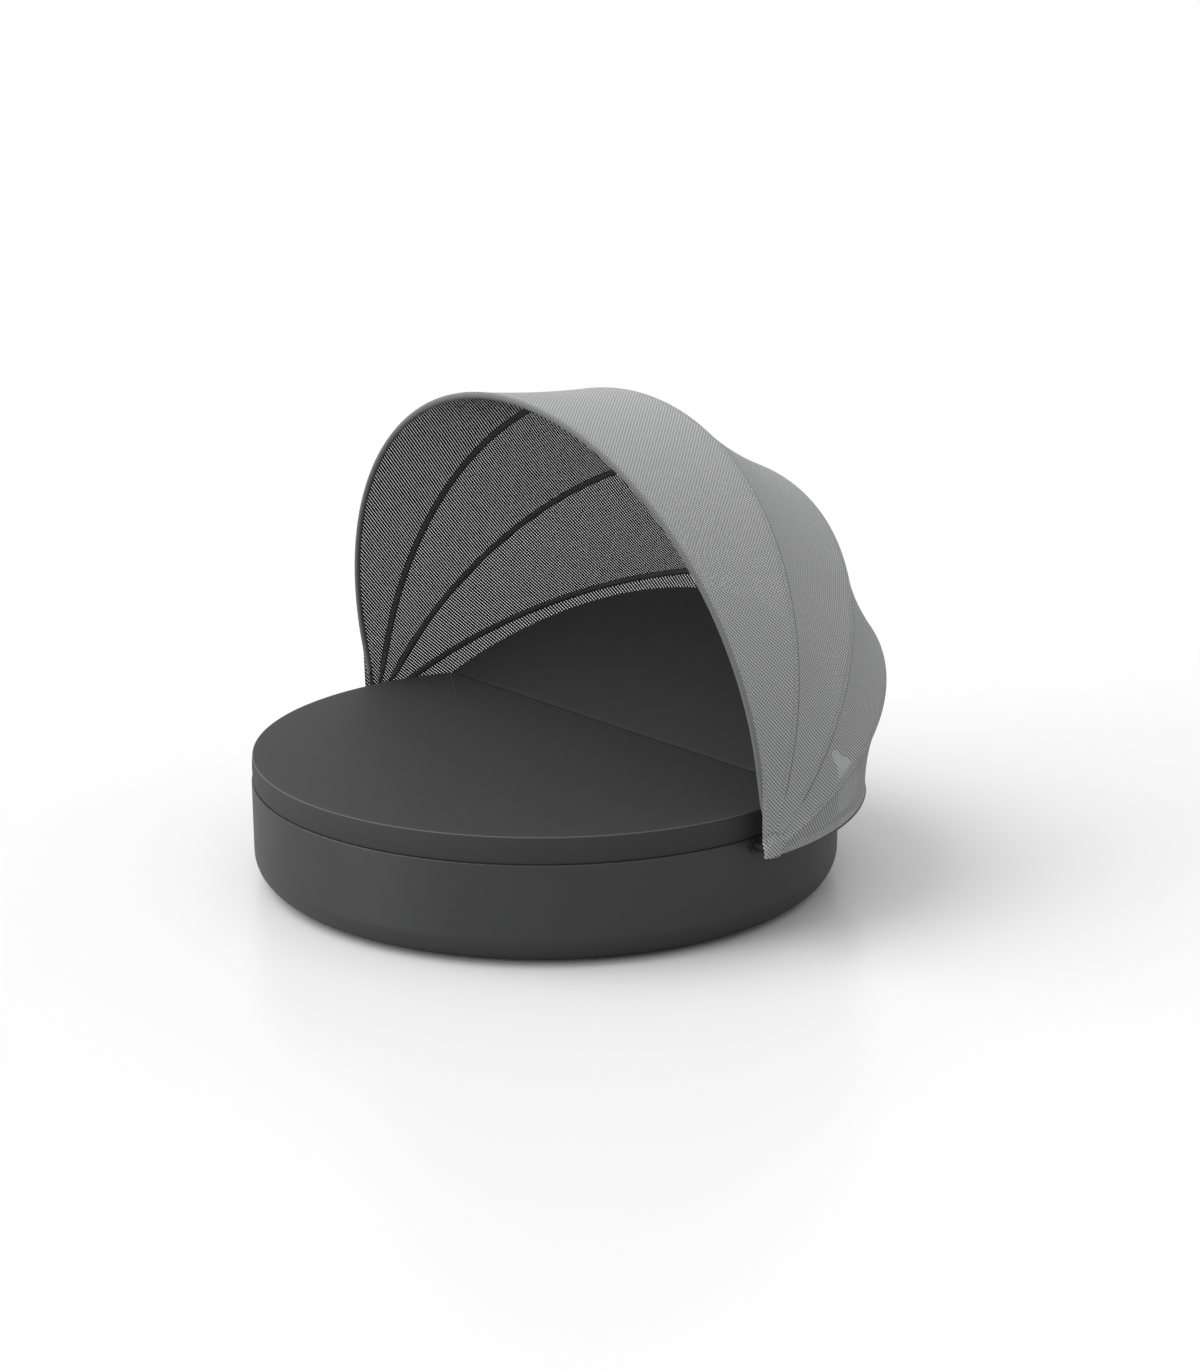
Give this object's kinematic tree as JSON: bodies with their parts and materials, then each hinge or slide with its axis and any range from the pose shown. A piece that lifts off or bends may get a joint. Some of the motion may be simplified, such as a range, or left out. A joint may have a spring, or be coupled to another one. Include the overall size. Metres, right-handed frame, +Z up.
{
  "type": "outdoor bed",
  "caption": "Round outdoor bed: a low moulded tub, a round mattress whose back part tilts up as a backrest, and a folding fan hood of mesh on hoops",
  "frame": {"origin": "on the floor under the middle of the round tub", "axes": "+X along the fold of the mattress, between the hood's two pivots; +Y to the back, where the hood stands; +Z up"},
  "size_m": [2.2897, 2.258, 1.7279],
  "materials": {
    "tub_plastic": "moulded, fine satin grain",
    "deck_plastic": "matt, hidden",
    "glide_plastic": "matt",
    "cover_fabric": "woven outdoor cover",
    "mesh_fabric": "open woven mesh",
    "hem_fabric": "woven band",
    "hoop_metal": "powder coated, dark",
    "fitting_steel": "stainless",
    "bracket_metal": "powder coated",
    "knob_plastic": "matt",
    "washer_plastic": "natural nylon",
    "gusset_plastic": "reinforced corner patch"
  },
  "bodies": {
    "base": {"base_tub": "tub_plastic", "glides": "glide_plastic", "glide_screws": "fitting_steel", "drain_plug": "glide_plastic", "deck": "deck_plastic", "deck_screws": "fitting_steel", "deck_posts": "deck_plastic", "seat_cushion": "cover_fabric", "seat_hinge_leaves": "fitting_steel", "seat_hinge_screws": "fitting_steel", "hinge_pins": "fitting_steel", "prop_rails": "fitting_steel", "prop_rail_screws": "fitting_steel", "hood_brackets": "bracket_metal", "bracket_screws": "fitting_steel", "rear_hoop_screws": "fitting_steel", "pivot_bolts": "fitting_steel", "pivot_washers": "washer_plastic", "side_gussets": "gusset_plastic", "lower_hem": "hem_fabric", "hoop_5_tube": "hoop_metal", "hoop_5_blades": "fitting_steel", "hoop_5_rivets": "fitting_steel", "hoop_5_sleeve": "hem_fabric"},
    "backrest": {"backrest_board": "deck_plastic", "backrest_cushion": "cover_fabric", "backrest_hinge_leaves": "fitting_steel", "backrest_hinge_screws": "fitting_steel", "prop_lugs": "fitting_steel", "prop_lug_screws": "fitting_steel", "prop_pivot_pins": "fitting_steel"},
    "prop": {"prop_bars": "fitting_steel", "prop_crossbar": "fitting_steel", "prop_foot_pins": "fitting_steel", "prop_knobs": "knob_plastic"},
    "hoop_4": {"hoop_4_tube": "hoop_metal", "hoop_4_blades": "fitting_steel", "hoop_4_rivets": "fitting_steel", "hoop_4_sleeve": "hem_fabric", "canopy_panel_4": "mesh_fabric"},
    "hoop_3": {"hoop_3_tube": "hoop_metal", "hoop_3_blades": "fitting_steel", "hoop_3_rivets": "fitting_steel", "hoop_3_sleeve": "hem_fabric", "canopy_panel_3": "mesh_fabric"},
    "hoop_2": {"hoop_2_tube": "hoop_metal", "hoop_2_blades": "fitting_steel", "hoop_2_rivets": "fitting_steel", "hoop_2_sleeve": "hem_fabric", "canopy_panel_2": "mesh_fabric"},
    "hoop_1": {"hoop_1_tube": "hoop_metal", "hoop_1_blades": "fitting_steel", "hoop_1_rivets": "fitting_steel", "hoop_1_sleeve": "hem_fabric", "canopy_panel_1": "mesh_fabric"}
  },
  "joints": [
    {"name": "backrest_recline", "type": "hinge", "parent": "base", "child": "backrest", "pos_m": [0, 0.32, 0.442], "axis": [1, 0, 0], "range_deg": [-35, 0]},
    {"name": "prop_swing", "type": "hinge", "parent": "backrest", "child": "prop", "pos_m": [0, 0.59612, 0.50106], "axis": [1, 0, 0], "range_deg": [0, 66.32]},
    {"name": "hood_4_fold", "type": "hinge", "parent": "base", "child": "hoop_4", "pos_m": [0, 0.037, 0.328], "axis": [1, 0, 0], "range_deg": [-22.7, 0], "deforming": ["canopy_panel_4"]},
    {"name": "hood_3_fold", "type": "hinge", "parent": "hoop_4", "child": "hoop_3", "pos_m": [0, 0.037, 0.328], "axis": [1, 0, 0], "range_deg": [-17.1, 0], "deforming": ["canopy_panel_3"]},
    {"name": "hood_2_fold", "type": "hinge", "parent": "hoop_3", "child": "hoop_2", "pos_m": [0, 0.037, 0.328], "axis": [1, 0, 0], "range_deg": [-17.2, 0], "deforming": ["canopy_panel_2"]},
    {"name": "hood_1_fold", "type": "hinge", "parent": "hoop_2", "child": "hoop_1", "pos_m": [0, 0.037, 0.328], "axis": [1, 0, 0], "range_deg": [-15.8, 0], "deforming": ["canopy_panel_1"]}
  ],
  "couplings": [
    {"joint": "prop_swing", "follows": "backrest_recline", "ratio": -1.8947},
    {"joint": "hood_3_fold", "follows": "hood_4_fold", "ratio": 0.7533},
    {"joint": "hood_2_fold", "follows": "hood_4_fold", "ratio": 0.7577},
    {"joint": "hood_1_fold", "follows": "hood_4_fold", "ratio": 0.69603}
  ]
}
